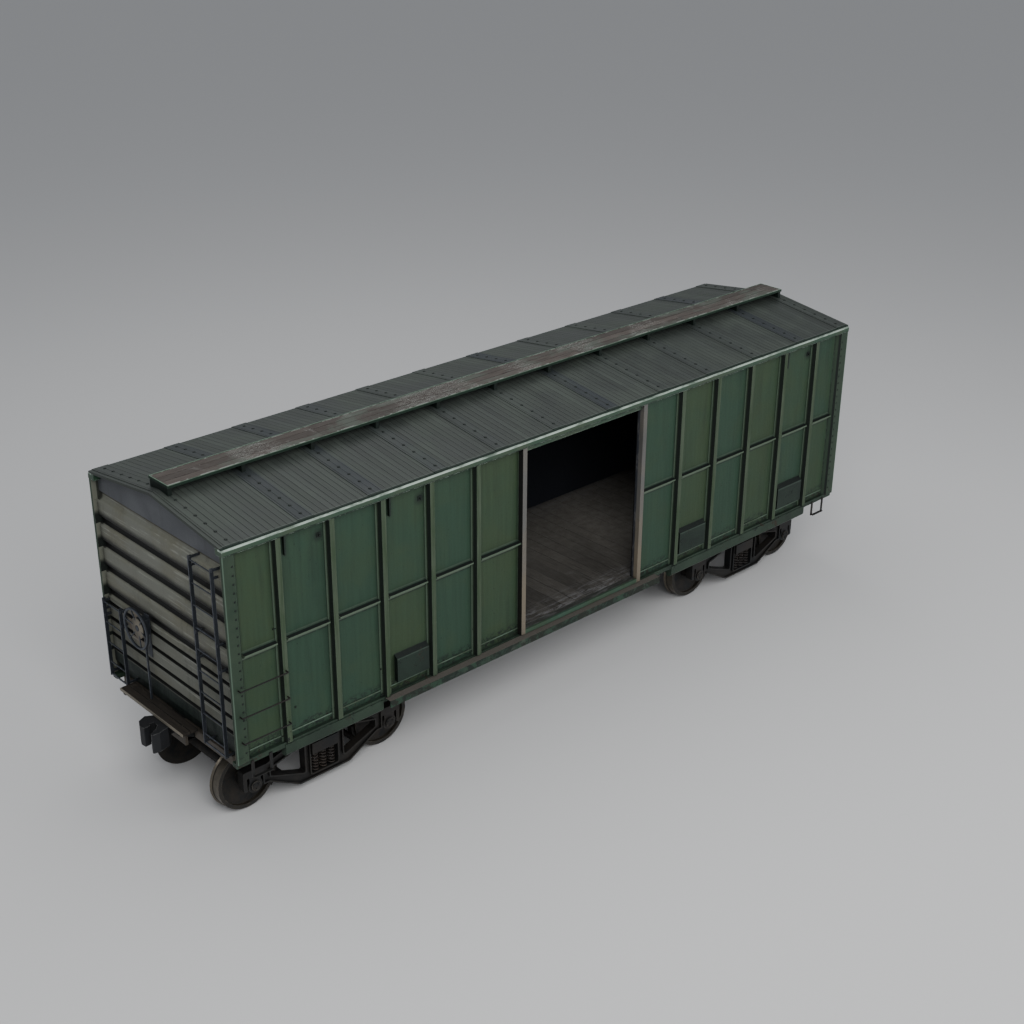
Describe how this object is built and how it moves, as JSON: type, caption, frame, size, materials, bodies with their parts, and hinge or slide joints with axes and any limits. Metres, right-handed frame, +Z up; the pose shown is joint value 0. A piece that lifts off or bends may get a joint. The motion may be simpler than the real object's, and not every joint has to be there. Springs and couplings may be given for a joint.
{
  "type": "railroad boxcar",
  "caption": "Outside-post railroad boxcar with corrugated ends, roof running board, sliding door and swivelling four-wheel trucks.",
  "frame": {"origin": "under the car's middle, level with the lowest point of the wheels' flanges", "axes": "+X along the car away from the hand-brake end, +Y towards the side with the shut door, +Z up"},
  "size_m": [13.3894, 3.33, 4.76],
  "materials": {
    "side_paint": "weathered green paint, chipped and rust-stained, satin",
    "end_paint": "faded cream-grey paint with grime in the grooves, matt",
    "gable_paint": "bluish grey paint, matt",
    "roof_sheet": "galvanised grey-green roof sheets, dulled and stained",
    "door_post_paint": "worn pinkish cream paint",
    "board_wood": "weathered running board, reddish brown",
    "floor_wood": "dark worn floor planks, scratched",
    "frame_steel": "black underframe paint under dust and rust",
    "ladder_steel": "dark blue-grey paint, worn at the rungs",
    "truck_iron": "cast steel, brown-black with road dust",
    "wheel_steel": "rolled steel, bright tread and rusty plate",
    "coupler_iron": "cast steel, greasy and worn grey"
  },
  "bodies": {
    "car_body": {"air_reservoir": "frame_steel", "belt_rails": "side_paint", "body_bolsters": "frame_steel", "brake_cylinder": "frame_steel", "brake_end_wall": "end_paint", "brake_housing": "ladder_steel", "brake_wheel": "ladder_steel", "centre_sill": "frame_steel", "control_valve": "frame_steel", "corner_posts": "side_paint", "couplers": "coupler_iron", "cross_bearers": "frame_steel", "door_hood": "side_paint", "door_posts": "door_post_paint", "end_ladders": "ladder_steel", "end_sills": "frame_steel", "far_end_wall": "end_paint", "far_side_walls": "side_paint", "floor": "floor_wood", "floor_stringers": "frame_steel", "gable_plates": "gable_paint", "lower_tracks": "side_paint", "near_side_walls": "side_paint", "platform_brackets": "frame_steel", "platforms": "board_wood", "roof": "roof_sheet", "running_board": "board_wood", "saddles": "side_paint", "side_grabs": "side_paint", "side_hangers": "side_paint", "side_pads": "side_paint", "side_posts": "side_paint", "side_sills": "side_paint", "sill_steps": "side_paint", "thresholds": "side_paint", "top_rails": "side_paint", "train_pipe": "frame_steel"},
    "brake_truck": {"brake_truck_bearings": "truck_iron", "brake_truck_bolster": "truck_iron", "brake_truck_brake_beams": "truck_iron", "brake_truck_side_frames": "truck_iron", "brake_truck_springs": "truck_iron"},
    "far_truck": {"far_truck_bearings": "truck_iron", "far_truck_bolster": "truck_iron", "far_truck_brake_beams": "truck_iron", "far_truck_side_frames": "truck_iron", "far_truck_springs": "truck_iron"},
    "brake_truck_outer_axle": {"brake_truck_outer_wheelset": "wheel_steel"},
    "brake_truck_inner_axle": {"brake_truck_inner_wheelset": "wheel_steel"},
    "far_truck_inner_axle": {"far_truck_inner_wheelset": "wheel_steel"},
    "far_truck_outer_axle": {"far_truck_outer_wheelset": "wheel_steel"},
    "sliding_door": {"door": "side_paint", "door_rollers": "side_paint"}
  },
  "joints": [
    {"name": "brake_truck_swivel", "type": "hinge", "parent": "car_body", "child": "brake_truck", "pos_m": [-4.53, 0, 0.7663], "axis": [0, 0, 1], "range_deg": [-6, 6]},
    {"name": "far_truck_swivel", "type": "hinge", "parent": "car_body", "child": "far_truck", "pos_m": [4.53, 0, 0.7663], "axis": [0, 0, 1], "range_deg": [-6, 6]},
    {"name": "brake_truck_outer_axle_spin", "type": "hinge", "parent": "brake_truck", "child": "brake_truck_outer_axle", "pos_m": [-5.685, 0, 0.485], "axis": [0, 1, 0], "continuous": true},
    {"name": "brake_truck_inner_axle_spin", "type": "hinge", "parent": "brake_truck", "child": "brake_truck_inner_axle", "pos_m": [-3.375, 0, 0.485], "axis": [0, 1, 0], "continuous": true},
    {"name": "far_truck_outer_axle_spin", "type": "hinge", "parent": "far_truck", "child": "far_truck_outer_axle", "pos_m": [5.685, 0, 0.485], "axis": [0, 1, 0], "continuous": true},
    {"name": "far_truck_inner_axle_spin", "type": "hinge", "parent": "far_truck", "child": "far_truck_inner_axle", "pos_m": [3.375, 0, 0.485], "axis": [0, 1, 0], "continuous": true},
    {"name": "door_slide", "type": "slide", "parent": "car_body", "child": "sliding_door", "axis": [1, 0, 0], "range_m": [0, 2.42]}
  ]
}
